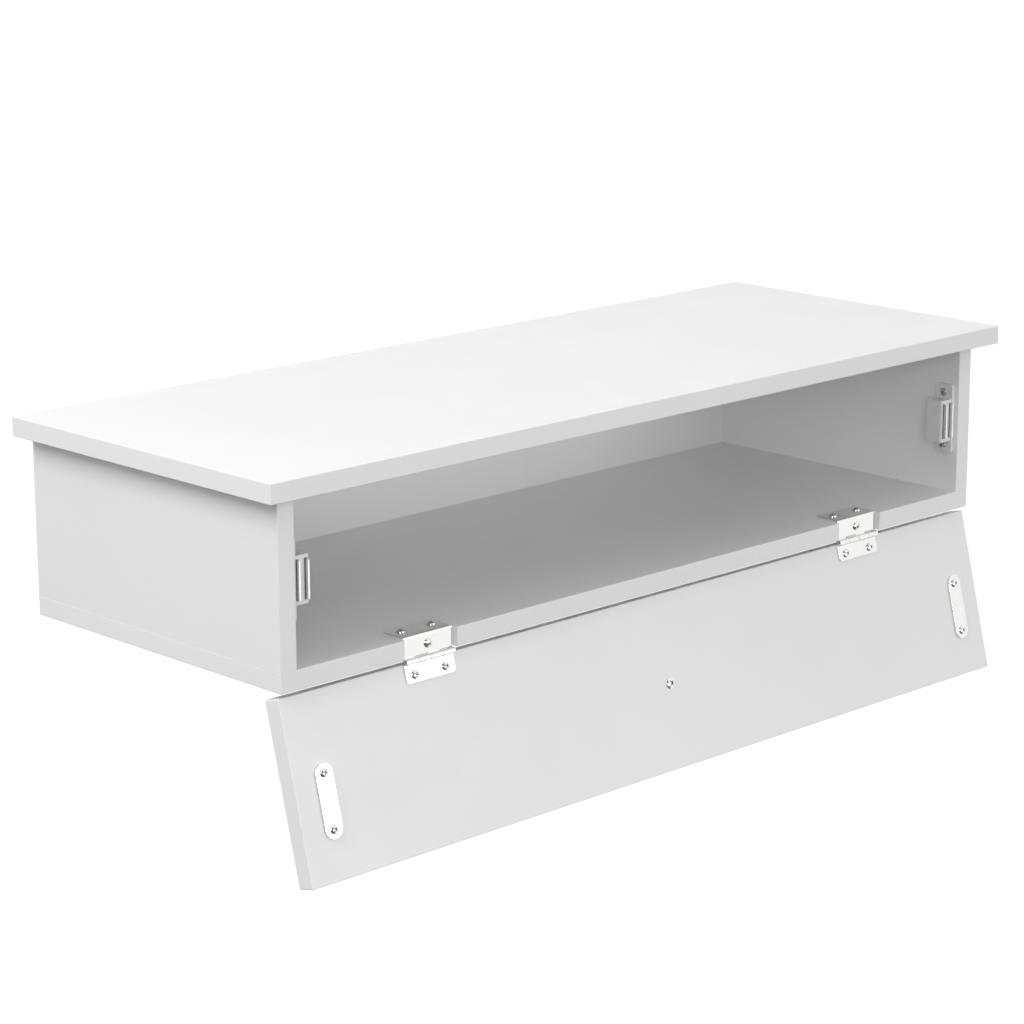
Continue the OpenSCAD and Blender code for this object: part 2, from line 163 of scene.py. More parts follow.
# ---- Dowels ----------------------------------------------------------------------------------
# Twenty-two beech dowels, glued, join the boards: nine under the top, nine over the bottom and
# four between the back and the sides. Each is fluted so that glue can run past it, and has
# chamfered ends.
flutes = 14
flute_depth = 0.3 * mm
flute_steps = 4
dowel_chamfer = 1.0 * mm
chamfer_slope = 0.6
wood_dark = (0.48, 0.31, 0.17)
wood_light = (0.66, 0.47, 0.29)
wood_rough = (0.55, 0.7)
pore_depth = 0.05 * mm
along_grain = (1, 1, 0.15)
same_point = 0.005 * mm
smooth_below = 32


def solids(node, place=Matrix()):
    """The points of each separate solid of a CAD node, in the frame given by place."""
    inverse = place.inverted()
    bm = bmesh.new()
    bm.from_mesh(nodes[node].data)
    bmesh.ops.remove_doubles(bm, verts=bm.verts, dist=same_point)
    waiting = set(bm.verts)
    found = []
    while waiting:
        reached = [waiting.pop()]
        points = []
        while reached:
            vert = reached.pop()
            points.append(inverse @ vert.co)
            for edge in vert.link_edges:
                other = edge.other_vert(vert)
                if other in waiting:
                    waiting.discard(other)
                    reached.append(other)
        found.append(points)
    bm.free()
    found.sort(key=lambda solid: tuple(round(value, 5) for value in corners(solid)[0]))
    return found


def corners(points):
    low = Vector([min(point[i] for point in points) for i in range(3)])
    high = Vector([max(point[i] for point in points) for i in range(3)])
    return low, high


def add_rings(bm, rings, closed=False):
    """Skins over rings of points, each ring closed, and caps the first and the last."""
    made = [[bm.verts.new(point) for point in ring] for ring in rings]
    count = len(rings[0])
    pairs = list(zip(made, made[1:]))
    if closed:
        pairs.append((made[-1], made[0]))
    for one, two in pairs:
        for i in range(count):
            j = (i + 1) % count
            bm.faces.new((one[i], one[j], two[j], two[i]))
    if not closed:
        bm.faces.new(made[0][::-1])
        bm.faces.new(made[-1])


def piece(name, bm, materials, body, slot, *replaced):
    """Makes an object of the mesh, hangs it on its body and hides the CAD nodes it replaces."""
    bmesh.ops.recalc_face_normals(bm, faces=bm.faces)
    mesh = bpy.data.meshes.new(name)
    bm.to_mesh(mesh)
    bm.free()
    mesh.shade_smooth()
    mesh.set_sharp_from_angle(angle=math.radians(smooth_below))
    for material in materials:
        mesh.materials.append(material)
    made = bpy.data.objects.new(name, mesh)
    bpy.context.scene.collection.objects.link(made)
    flat = made.modifiers.new("flat_faces", "WEIGHTED_NORMAL")
    flat.keep_sharp = True
    flat.weight = 100
    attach(made, body)
    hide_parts(*replaced)
    return made


def add_dowel(bm, low, high):
    axis = max(range(3), key=lambda i: high[i] - low[i])
    across = [i for i in range(3) if i != axis]
    radius = (high[across[0]] - low[across[0]]) / 2
    middle = (low + high) / 2
    rings = []
    for along, shrink in ((low[axis], dowel_chamfer), (low[axis] + dowel_chamfer, 0),
                          (high[axis] - dowel_chamfer, 0), (high[axis], dowel_chamfer)):
        ring = []
        for step in range(flutes * flute_steps):
            turn = math.tau * step / (flutes * flute_steps)
            groove = flute_depth * (0.5 - 0.5 * math.cos(flutes * turn))
            reach = radius - shrink * chamfer_slope - groove
            point = Vector(middle)
            point[axis] = along
            point[across[0]] += reach * math.cos(turn)
            point[across[1]] += reach * math.sin(turn)
            ring.append(point)
        rings.append(ring)
    add_rings(bm, rings)


def beech_wood():
    made, tree, shader = new_material("beech")
    pores = mingled(tree, grain(tree, 60, 3.0), grain(tree, 900, 2.0, along_grain), 0.5)
    tones(tree, pores, wood_dark, wood_light, shader.inputs["Base Color"])
    level(tree, grain(tree, 400), *wood_rough, shader.inputs["Roughness"])
    bumps(tree, shader, pores, pore_depth)
    return made


beech = beech_wood()
for node in ("top_dowels", "bottom_dowels", "back_dowels"):
    mesh_work = bmesh.new()
    for dowel in solids(node):
        add_dowel(mesh_work, *corners(dowel))
    piece("fluted_" + node, mesh_work, [beech], "body", "dowel_wood", node)


# ---- Edge bands of the desk ------------------------------------------------------------------
# Strips of 0.8 mm white plastic, ironed on round every edge that shows. The machine trims them
# flush and rounds their long edges, and they bend round the corners of the boards. Where two
# boards meet, the rounded edge leaves the fine line seen at the joint.
band_thick = 0.8 * mm
band_round = 0.55 * mm
band_bend = 1.0 * mm
round_steps = 4
bend_steps = 6
hinge_notch = 52 * mm
band_dark = (0.868, 0.869, 0.868)
band_light = (0.894, 0.893, 0.890)
band_rough = (0.34, 0.46)
band_texture = 0.012 * mm


def band_profile(width):
    """Depth behind the outer face and height, from one long edge of the strip to the other."""
    points = [(band_thick, 0)]
    for step in range(round_steps + 1):
        turn = math.pi / 2 * step / round_steps
        points.append((band_round * (1 - math.sin(turn)), band_round * (1 - math.cos(turn))))
    return points + [(depth, width - height) for depth, height in points[::-1]]


def band_stations(outline, closed):
    """Points of the outer face round an outline, anticlockwise, each with its inward direction."""
    count = len(outline)
    ways = []
    for i in range(count if closed else count - 1):
        ways.append((outline[(i + 1) % count] - outline[i]).normalized())
    inward = [Vector((-way.y, way.x)) for way in ways]
    stations = []
    for i, corner in enumerate(outline):
        if not closed and i == 0:
            stations.append((corner, inward[0]))
        elif not closed and i == count - 1:
            stations.append((corner, inward[-1]))
        else:
            centre = corner + (inward[i - 1] + inward[i]) * band_bend
            for step in range(bend_steps + 1):
                share = step / bend_steps
                turn = math.pi / 2 * share
                way = inward[i - 1] * math.cos(turn) + inward[i] * math.sin(turn)
                stations.append((centre - way * band_bend, way))
    return stations


def add_band(bm, outline, width, place, closed=False):
    """place turns the outline's own X and Y, and Z across the board, into the desk's frame."""
    profile = band_profile(width)
    rings = []
    for point, way in band_stations([Vector(corner) for corner in outline], closed):
        ring = []
        for depth, height in profile:
            at = point + way * depth
            ring.append(place @ Vector((at.x, at.y, height)))
        rings.append(ring)
    add_rings(bm, rings, closed)


def band_plastic():
    made, tree, shader = new_material("white_edge_band")
    cloud = mingled(tree, grain(tree, 9), grain(tree, 600, 2.0), 0.3)
    # Pointiness lightens the rounded edges and darkens hollows: painted highlight and painted shade
    painted_edge_shading = tree.nodes.new("ShaderNodeNewGeometry")
    tone_with_painted_edge_shading = mingled(tree, cloud, painted_edge_shading.outputs["Pointiness"], 0.35)
    tones(tree, tone_with_painted_edge_shading, band_dark, band_light, shader.inputs["Base Color"])
    level(tree, grain(tree, 70, 3.0), *band_rough, shader.inputs["Roughness"])
    bumps(tree, shader, grain(tree, 1800, 1.0), band_texture)
    return made


edge_band = band_plastic()

low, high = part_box("top_edge_bands")
top_outline = [(low.x, high.y), (low.x, low.y), (high.x, low.y), (high.x, high.y)]
mesh_work = bmesh.new()
add_band(mesh_work, top_outline, high.z - low.z, Matrix.Translation((0, 0, low.z)))
piece("top_wrapped_band", mesh_work, [edge_band], "body", "white_edge", "top_edge_bands")

low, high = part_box("bottom_edge_bands")
notches = []
for side in ("left", "right"):
    pin_low, pin_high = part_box(side + "_hinge_pin")
    middle = (pin_low.x + pin_high.x) / 2
    notches.append((middle - hinge_notch / 2, middle + hinge_notch / 2))
bottom_stretches = [
    [(low.x, high.y), (low.x, low.y), (notches[0][0], low.y)],
    [(notches[0][1], low.y), (notches[1][0], low.y)],
    [(notches[1][1], low.y), (high.x, low.y), (high.x, high.y)],
]
mesh_work = bmesh.new()
for stretch in bottom_stretches:
    add_band(mesh_work, stretch, high.z - low.z, Matrix.Translation((0, 0, low.z)))
piece("bottom_wrapped_bands", mesh_work, [edge_band], "body", "white_edge", "bottom_edge_bands")

standing = Matrix(((0, 0, 1, 0), (0, 1, 0, 0), (1, 0, 0, 0), (0, 0, 0, 1)))
for side in ("left", "right"):
    low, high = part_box(side + "_side_edge_band")
    mesh_work = bmesh.new()
    add_band(mesh_work, [(low.z, low.y), (high.z, low.y)], high.x - low.x,
             Matrix.Translation((low.x, 0, 0)) @ standing)
    piece(side + "_side_band_strip", mesh_work, [edge_band], "body", "white_edge",
          side + "_side_edge_band")


# ---- Edge band of the flap -------------------------------------------------------------------
# The same strip, run right round the flap. The flap hangs open from its two hinge pins, with
# its lower edge a little in front of straight down.
pin_low, pin_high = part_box("left_hinge_pin")
pin_middle = (pin_low + pin_high) / 2
hang = math.radians(180 - max(frame["joints"][0]["range_deg"]))
flap_place = Matrix.Translation((0, pin_middle.y, pin_middle.z)) @ Matrix.Rotation(-hang, 4, "X")

low, high = corners(solids("flap_edge_bands", flap_place)[0])
for solid in solids("flap_edge_bands", flap_place):
    solid_low, solid_high = corners(solid)
    low = Vector(map(min, low, solid_low))
    high = Vector(map(max, high, solid_high))
upright = Matrix(((1, 0, 0, 0), (0, 0, 1, 0), (0, 1, 0, 0), (0, 0, 0, 1)))
flap_outline = [(low.x, low.z), (high.x, low.z), (high.x, high.z), (low.x, high.z)]
mesh_work = bmesh.new()
add_band(mesh_work, flap_outline, high.y - low.y,
         flap_place @ Matrix.Translation((0, low.y, 0)) @ upright, closed=True)
piece("flap_wrapped_band", mesh_work, [edge_band], "flap", "white_edge", "flap_edge_bands")


# ---- Hinge leaves ----------------------------------------------------------------------------
# Two butt hinges of 1.2 mm steel strip, bright nickel plated. Each leaf is stamped, its two
# knuckles are rolled round the pin, and the fixed leaf is bent over the floor's front edge,
# with its front part let into a notch.
leaf_thick = 1.2 * mm
knuckle_r = 2.5 * mm
knuckles = 4
knuckle_gap = 0.2 * mm
leaf_clear = 0.4 * mm
bend_inside = 0.3 * mm
leaf_corner = 2.5 * mm
leaf_soft = 0.22 * mm
roll_end = 63
roll_steps = 40
knuckle_soft = 0.12 * mm
soft_steps = 3
corner_steps = 6
body_knuckles = (1, 3)
flap_knuckles = (0, 2)
nickel_dark = (0.735, 0.73, 0.722)
nickel_light = (0.79, 0.786, 0.778)
nickel_rough = (0.09, 0.18)
stroke_depth = 0.0008 * mm
along_strokes = (0.04, 1, 1)


def nickel_plate():
    made, tree, shader = new_material("nickel_plate")
    shader.inputs["Metallic"].default_value = 1.0
    # Pointiness lightens edges and darkens bends and hollows: painted highlight and painted shade
    painted_edge_shading = tree.nodes.new("ShaderNodeNewGeometry")
    cloud = mingled(tree, grain(tree, 130, 3.0), painted_edge_shading.outputs["Pointiness"], 0.6)
    tones(tree, cloud, nickel_dark, nickel_light, shader.inputs["Base Color"])
    strokes = grain(tree, 1500, 2.0, along_strokes)
    polish = mingled(tree, strokes, grain(tree, 220, 3.0), 0.5)
    level(tree, polish, *nickel_rough, shader.inputs["Roughness"])
    bumps(tree, shader, strokes, stroke_depth)
    return made


def add_strip(bm, stations, place, width_at, thick):
    """Sheet metal along stations (point, direction, run), softened along its edges."""
    rings = []
    for point, way, run in stations:
        normal = Vector((0, -way.z, way.y))
        half = width_at(run)
        soft = min(leaf_soft, half / 2)
        outline = [(half, thick / 2 - soft), (half - soft, thick / 2),
                   (soft - half, thick / 2), (-half, thick / 2 - soft),
                   (-half, soft - thick / 2), (soft - half, -thick / 2),
                   (half - soft, -thick / 2), (half, soft - thick / 2)]
        rings.append([place @ (point + Vector((x, 0, 0)) + normal * y) for x, y in outline])
    add_rings(bm, rings)


def leaf_width(width, length):
    """Half width of a leaf at a run along it, with rounded corners at its free end."""
    def half_at(run):
        over = max(0, run - (length - leaf_corner))
        over = min(over, leaf_corner)
        return width / 2 - leaf_corner + math.sqrt(leaf_corner ** 2 - over ** 2)
    return half_at


def corner_runs(length):
    """Runs along the rounded end of a leaf, closer together towards its end."""
    start = length - leaf_corner
    return [start + leaf_corner * math.sin(math.pi / 2 * i / corner_steps)
            for i in range(corner_steps + 1)]


def roll_outline(web_top, inset):
    """Side view of a knuckle, from the leaf round the pin and back, drawn in by inset."""
    outside = knuckle_r - inset
    inside = knuckle_r - leaf_thick + inset
    outer = [(outside, web_top - inset)]
    inner = [(inside, web_top - inset)]
    open_turn = math.radians(360 - roll_end) - inset / knuckle_r
    for step in range(roll_steps + 1):
        turn = -open_turn * step / roll_steps
        outer.append((outside * math.cos(turn), outside * math.sin(turn)))
        inner.append((inside * math.cos(turn), inside * math.sin(turn)))
    return outer + inner[::-1]


def add_knuckle(bm, start, length, web_top, place):
    """A rolled knuckle along X, with the ends of the roll softened."""
    sections = []
    for step in range(soft_steps + 1):
        turn = math.pi / 2 * step / soft_steps
        sections.append((knuckle_soft * (1 - math.sin(turn)), knuckle_soft * (1 - math.cos(turn))))
    sections = [(start + along, inset) for inset, along in sections]
    sections += [(2 * start + length - x, inset) for x, inset in sections[::-1]]
    rings = []
    for x, inset in sections:
        outline = roll_outline(web_top, inset)
        rings.append([bm.verts.new(place @ Vector((x, y, z))) for y, z in outline])
    count = len(rings[0])
    for one, two in zip(rings, rings[1:]):
        for i in range(count):
            j = (i + 1) % count
            bm.faces.new((one[i], one[j], two[j], two[i]))
    for end in (rings[0], rings[-1]):
        for i in range(count // 2 - 1):
            bm.faces.new((end[i], end[i + 1], end[count - 2 - i], end[count - 1 - i]))


nickel = nickel_plate()
upside_down = Matrix.Scale(-1, 4, (0, 0, 1))
for side in ("left", "right"):
    leaf_low, leaf_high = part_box(side + "_hinge_fixed_leaf")
    hinge_w = leaf_high.x - leaf_low.x
    knuckle_pitch = (hinge_w + knuckle_gap) / knuckles
    pin_low, pin_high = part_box(side + "_hinge_pin")
    hinge_middle = (pin_low + pin_high) / 2
    leaf_mid = knuckle_r - leaf_thick / 2
    leaf_start = knuckle_r + leaf_clear

    # Fixed leaf: up the notch, round the bend and back along the compartment's floor
    place = Matrix.Translation(hinge_middle)
    level_z = leaf_high.z - hinge_middle.z - leaf_thick / 2
    far_y = leaf_high.y - hinge_middle.y
    bend_r = bend_inside + leaf_thick / 2
    up = Vector((0, 0, 1))
    back = Vector((0, 1, 0))
    stations = [(Vector((0, leaf_mid, leaf_start)), up, 0)]
    for step in range(bend_steps + 1):
        turn = math.pi / 2 * step / bend_steps
        point = Vector((0, leaf_mid + bend_r * (1 - math.cos(turn)),
                        level_z - bend_r * (1 - math.sin(turn))))
        stations.append((point, up * math.cos(turn) + back * math.sin(turn), 0))
    floor_length = far_y - leaf_mid - bend_r
    for run in corner_runs(floor_length):
        stations.append((Vector((0, leaf_mid + bend_r + run, level_z)), back, run))
    mesh_work = bmesh.new()
    add_strip(mesh_work, stations, place, leaf_width(hinge_w, floor_length), leaf_thick)
    for number in body_knuckles:
        add_knuckle(mesh_work, knuckle_pitch * number - hinge_w / 2, knuckle_pitch - knuckle_gap,
                    leaf_start + leaf_soft, place)
    piece(side + "_hinge_bent_leaf", mesh_work, [nickel], "body", "nickel_steel",
          side + "_hinge_fixed_leaf")

    # Moving leaf: straight down the flap's inner face
    place = flap_place @ Matrix.Translation((hinge_middle.x, 0, 0))
    leaf_end = -corners(solids(side + "_hinge_moving_leaf", place)[0])[0].z
    down_length = leaf_end - leaf_start
    stations = [(Vector((0, leaf_mid, -leaf_start)), -up, 0)]
    for run in corner_runs(down_length):
        stations.append((Vector((0, leaf_mid, -leaf_start - run)), -up, run))
    mesh_work = bmesh.new()
    add_strip(mesh_work, stations, place, leaf_width(hinge_w, down_length), leaf_thick)
    for number in flap_knuckles:
        add_knuckle(mesh_work, knuckle_pitch * number - hinge_w / 2, knuckle_pitch - knuckle_gap,
                    leaf_start + leaf_soft, place @ upside_down)
    piece(side + "_hinge_flap_leaf", mesh_work, [nickel], "flap", "nickel_steel",
          side + "_hinge_moving_leaf")


# ---- Hinge pins ------------------------------------------------------------------------------
# A drawn steel wire through the four knuckles of each hinge, peened at both ends to a low
# dome, so that it can't work its way out.
pin_dome = 0.35 * mm
pin_steps = 24
dome_shape = ((0.35, 0), (0.7, 0.3), (1, 1))


def turned_rings(profile, steps):
    """Rings round Z for a profile of (radius, height)."""
    turns = [math.tau * i / steps for i in range(steps)]
    return [[Vector((radius * math.cos(turn), radius * math.sin(turn), z)) for turn in turns]
            for radius, z in profile]


along_x = Matrix.Rotation(math.pi / 2, 4, "Y")
for side in ("left", "right"):
    pin_low, pin_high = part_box(side + "_hinge_pin")
    pin_r = (pin_high.z - pin_low.z) / 2
    half = (pin_high.x - pin_low.x) / 2
    profile = [(pin_r * share, half - pin_dome * drop) for share, drop in dome_shape]
    profile += [(radius, -z) for radius, z in profile[::-1]]
    place = Matrix.Translation((pin_low + pin_high) / 2) @ along_x
    rings = turned_rings(profile, pin_steps)
    mesh_work = bmesh.new()
    add_rings(mesh_work, [[place @ point for point in ring] for ring in rings])
    piece(side + "_hinge_peened_pin", mesh_work, [nickel], "body", "nickel_steel",
          side + "_hinge_pin")


# ---- Screws ----------------------------------------------------------------------------------
# Cross-head wood screws with low domed heads, zinc plated, hold the hinges, catches and strike
# plates. The head is cold formed with its cross recess, then the thread is rolled. One larger
# machine screw holds the knob from inside the flap.
head_h = 1.8 * mm
wood_head_r = 3.5 * mm
knob_head_r = 5.0 * mm
head_steps = 48
dome_shares = (0.02, 0.2, 0.4, 0.6, 0.75)
dome_flatness = 2
shoulder_share = 0.16
shoulder_steps = 4
shoulder_start = 25
shoulder_sine = 0.42
shoulder_cosine = 0.91
head_edge = 0.12 * mm
head_foot = 0.97

# Half length and half width of the cross, at its floor, at the head's top and above it
recess_depth = 1.15 * mm
recess_floor = (0.75 * mm, 0.22 * mm)
recess_mouth = (1.85 * mm, 0.42 * mm)
recess_above = (1.95 * mm, 0.42 * mm)
above_head = 0.2 * mm
recess_shade_index = 1

# Radius of the thread's root and crest, length of its point and pitch
wood_thread = (1.05 * mm, 1.5 * mm, 3 * mm, 1.4 * mm)
machine_thread = (1.65 * mm, 2.0 * mm, 0, 0.7 * mm)
thread_steps = 18
rings_a_turn = 6
ridge_width = 0.28
point_share = 0.12
blunt_share = 0.8
head_turn = 25

# The plating, and painted shade inside the recess: duller metal coloured near black
zinc_dark = (0.70, 0.705, 0.715)
zinc_light = (0.78, 0.785, 0.79)
zinc_rough = 0.1
recess_painted_shade_dark = (0.10, 0.10, 0.105)
recess_painted_shade_light = (0.17, 0.17, 0.175)
recess_rough = 0.45
rough_spread = 0.12
spangle_scale = 1400
zinc_texture = 0.002 * mm


def zinc_plate(name, dark, light, rough):
    made, tree, shader = new_material(name)
    shader.inputs["Metallic"].default_value = 1.0
    place = tree.nodes.new("ShaderNodeTexCoord")
    spangle = tree.nodes.new("ShaderNodeTexVoronoi")
    spangle.inputs["Scale"].default_value = spangle_scale
    tree.links.new(place.outputs["Object"], spangle.inputs["Vector"])
    cloud = mingled(tree, grain(tree, 300, 3.0), spangle.outputs["Distance"], 0.4)
    tones(tree, cloud, dark, light, shader.inputs["Base Color"])
    level(tree, grain(tree, 700, 2.0), rough, rough + rough_spread, shader.inputs["Roughness"])
    bumps(tree, shader, grain(tree, 2500, 1.0), zinc_texture)
    return made


zinc = zinc_plate("zinc_plate", zinc_dark, zinc_light, zinc_rough)
# The recess material is painted shade: near-black metal for the shadow inside the cross
painted_shade_zinc = zinc_plate("recess_painted_shade", recess_painted_shade_dark, recess_painted_shade_light, recess_rough)


def head_profile(radius):
    """A low dome, a rounded shoulder and a short straight side."""
    sphere = dome_flatness * radius
    shoulder = shoulder_share * radius
    profile = [(radius * share, head_h - sphere + math.sqrt(sphere ** 2 - (radius * share) ** 2))
               for share in dome_shares]
    shoulder_x = radius - shoulder
    shoulder_z = head_h - sphere + math.sqrt(sphere ** 2 - shoulder_x ** 2)
    for step in range(shoulder_steps + 1):
        turn = math.radians(shoulder_start + (90 - shoulder_start) * step / shoulder_steps)
        out = shoulder * (math.sin(turn) - shoulder_sine) / (1 - shoulder_sine)
        profile.append((shoulder_x + out, shoulder_z - shoulder * (shoulder_cosine - math.cos(turn))))
    profile += [(radius, head_edge), (radius * head_foot, 0)]
    return profile


def cross_ring(half_length, half_width, z):
    """Twelve corners of a cross, turned 45 degrees."""
    ring = []
    for quarter in range(4):
        turn = Matrix.Rotation(math.pi / 2 * quarter + math.pi / 4, 4, "Z")
        for x, y in ((half_width, -half_width), (half_length, -half_width),
                     (half_length, half_width)):
            ring.append(turn @ Vector((x, y, z)))
    return ring


def cut_head(radius):
    """Mesh of a screw head with its tapered cross recess cut out."""
    head = bmesh.new()
    add_rings(head, turned_rings(head_profile(radius), head_steps))
    cutter = bmesh.new()
    size = radius / wood_head_r
    levels = ((recess_floor, head_h - recess_depth), (recess_mouth, head_h),
              (recess_above, head_h + above_head))
    add_rings(cutter, [cross_ring(length * size, width * size, z) for (length, width), z in levels])
    made = []
    for name, bm in (("head", head), ("cutter", cutter)):
        bmesh.ops.recalc_face_normals(bm, faces=bm.faces)
        for face in bm.faces:
            # The cutter's faces become the recess walls and take the painted-shade material
            face.material_index = recess_shade_index if name == "cutter" else 0
        mesh = bpy.data.meshes.new(name)
        bm.to_mesh(mesh)
        bm.free()
        for material in (zinc, painted_shade_zinc):
            mesh.materials.append(material)
        blank = bpy.data.objects.new(name, mesh)
        bpy.context.scene.collection.objects.link(blank)
        made.append(blank)
    cut = made[0].modifiers.new("recess", "BOOLEAN")
    cut.operation = "DIFFERENCE"
    cut.object = made[1]
    bpy.context.view_layer.update()
    shaped = made[0].evaluated_get(bpy.context.evaluated_depsgraph_get())
    result = bpy.data.meshes.new_from_object(shaped)
    for blank in made:
        mesh = blank.data
        bpy.data.objects.remove(blank)
        bpy.data.meshes.remove(mesh)
    return result


def add_thread(bm, place, length, root_r, crest_r, tip, pitch):
    """A threaded shank from the seat down, with a point where tip is more than 0."""
    steps = round(length / pitch * rings_a_turn)
    rings = []
    for number in range(steps + 1):
        z = -length * number / steps
        left_over = length + z
        if tip:
            taper = min(1, point_share + (1 - point_share) * left_over / tip)
        else:
            taper = min(1, blunt_share + left_over / pitch)
        ring = []
        for step in range(thread_steps):
            phase = (number / rings_a_turn + step / thread_steps) % 1
            ridge = max(0, 1 - abs(phase - 0.5) / ridge_width)
            radius = taper * (root_r + (crest_r - root_r) * ridge)
            turn = math.tau * step / thread_steps
            ring.append(place @ Vector((radius * math.cos(turn), radius * math.sin(turn), z)))
        rings.append(ring)
    add_rings(bm, rings)


def screw_place(points):
    """Where a screw's seat is, with its head towards +Z, and the length under the head."""
    low, high = corners(points)
    middle = (low + high) / 2
    size = high - low
    axis = max(range(3), key=lambda i: size[i])
    across = [i for i in range(3) if i != axis]
    widest = max(points, key=lambda point: math.hypot(*(point[i] - middle[i] for i in across)))
    way = Vector((0, 0, 0))
    way[axis] = 1 if widest[axis] > middle[axis] else -1
    seat = middle + way * (size[axis] / 2 - head_h)
    facing = way.to_track_quat("Z", "Y").to_matrix().to_4x4()
    return Matrix.Translation(seat) @ facing, size[axis] - head_h


def make_screws(name, node, body, head, thread):
    place = places[body]
    bm = bmesh.new()
    for points in solids(node, place):
        seat, length = screw_place(points)
        turn = math.radians(chance.uniform(-head_turn, head_turn))
        seat = place @ seat @ Matrix.Rotation(turn, 4, "Z")
        before = len(bm.verts)
        bm.from_mesh(head)
        bm.verts.ensure_lookup_table()
        bmesh.ops.transform(bm, matrix=seat, verts=bm.verts[before:])
        add_thread(bm, seat, length, *thread)
    piece(name, bm, [zinc, painted_shade_zinc], body, "zinc_screw", node)


chance = random.Random(5)
places = {"body": Matrix(), "flap": flap_place}
wood_head = cut_head(wood_head_r)
for side in ("left", "right"):
    for use, body in (("hinge_body", "body"), ("hinge_flap", "flap"), ("catch", "body"),
                      ("strike", "flap")):
        make_screws(f"{side}_{use}_wood_screws", f"{side}_{use}_screws", body, wood_head,
                    wood_thread)
make_screws("knob_machine_screw", "knob_screw", "flap", cut_head(knob_head_r), machine_thread)


# ---- Catches ---------------------------------------------------------------------------------
# A magnetic catch on each side board: a case moulded in white plastic, with a screw flange and
# a shallow pocket at each end, two ground steel pole plates in its slots and a ferrite block
# between them. The catch is screwed on last.
plate_soft = 0.15 * mm
soft_segments = 3
sharpest_left = 35
plastic_dark = (0.74, 0.74, 0.735)
plastic_light = (0.80, 0.80, 0.795)
plastic_rough = (0.30, 0.42)
plastic_texture = 0.015 * mm
steel_dark = (0.70, 0.70, 0.70)
steel_light = (0.82, 0.82, 0.815)
steel_rough = (0.2, 0.34)
grinding_depth = 0.004 * mm
along_grinding = (1, 1, 0.05)
ferrite_dark = (0.03, 0.03, 0.032)
ferrite_light = (0.075, 0.075, 0.078)
ferrite_rough = (0.5, 0.75)
grit_depth = 0.06 * mm


def soften(node, width):
    """Rounds the sharp edges of a CAD node by this radius."""
    weld = nodes[node].modifiers.new("weld", "WELD")
    weld.merge_threshold = same_point
    bevel = nodes[node].modifiers.new("soft_edges", "BEVEL")
    bevel.width = width
    bevel.segments = soft_segments
    bevel.limit_method = "ANGLE"
    bevel.angle_limit = math.radians(sharpest_left)
    bevel.harden_normals = True


def moulded_plastic():
    made, tree, shader = new_material("moulded_white_plastic")
    # Pointiness lightens edges and darkens hollows: painted highlight and painted shade in the colour
    painted_edge_shading = tree.nodes.new("ShaderNodeNewGeometry")
    cloud = mingled(tree, grain(tree, 80), painted_edge_shading.outputs["Pointiness"], 0.35)
    tones(tree, cloud, plastic_dark, plastic_light, shader.inputs["Base Color"])
    level(tree, grain(tree, 250, 2.0), *plastic_rough, shader.inputs["Roughness"])
    bumps(tree, shader, grain(tree, 2200, 2.0), plastic_texture)
    return made


def ground_steel():
    made, tree, shader = new_material("ground_steel")
    shader.inputs["Metallic"].default_value = 1.0
    strokes = grain(tree, 1800, 2.0, along_grinding)
    clouded = mingled(tree, strokes, grain(tree, 120, 2.0), 0.4)
    tones(tree, clouded, steel_dark, steel_light, shader.inputs["Base Color"])
    level(tree, strokes, *steel_rough, shader.inputs["Roughness"])
    bumps(tree, shader, strokes, grinding_depth)
    return made


def ferrite_block():
    made, tree, shader = new_material("ferrite")
    grit = mingled(tree, grain(tree, 1200, 4.0), grain(tree, 90), 0.3)
    tones(tree, grit, ferrite_dark, ferrite_light, shader.inputs["Base Color"])
    level(tree, grit, *ferrite_rough, shader.inputs["Roughness"])
    bumps(tree, shader, grit, grit_depth)
    return made


plastic = moulded_plastic()
pole_steel = ground_steel()
ferrite = ferrite_block()
for side in ("left", "right"):
    finish_node(side + "_catch_case", plastic)
    for part, finish in (("_catch_pole_plates", pole_steel), ("_catch_magnet", ferrite)):
        finish_node(side + part, finish)
        soften(side + part, plate_soft)


# ---- Strike plates ---------------------------------------------------------------------------
# Stamped steel plates with round ends, nickel plated and polished, two screws each. They meet
# the catches when the flap is shut. The punch leaves their front edge rounded.
plate_round = 0.35 * mm
plate_round_steps = 4
plate_end_steps = 20


def capsule(low, high, inset, y):
    """Outline of a plate with round ends, drawn in by inset."""
    radius = (high.x - low.x) / 2
    middle = (low.x + high.x) / 2
    ring = []
    for centre_z, start in ((high.z - radius, 0), (low.z + radius, math.pi)):
        for step in range(plate_end_steps + 1):
            turn = start + math.pi * step / plate_end_steps
            ring.append(Vector((middle + (radius - inset) * math.cos(turn), y,
                                centre_z + (radius - inset) * math.sin(turn))))
    return ring


for side in ("left", "right"):
    low, high = corners(solids(side + "_strike_plate", flap_place)[0])
    rings = [capsule(low, high, 0, high.y)]
    for step in range(plate_round_steps + 1):
        turn = math.pi / 2 * step / plate_round_steps
        rings.append(capsule(low, high, plate_round * (1 - math.cos(turn)),
                             low.y + plate_round * (1 - math.sin(turn))))
    mesh_work = bmesh.new()
    add_rings(mesh_work, [[flap_place @ point for point in ring] for ring in rings])
    piece(side + "_stamped_strike_plate", mesh_work, [nickel], "flap", "nickel_steel",
          side + "_strike_plate")


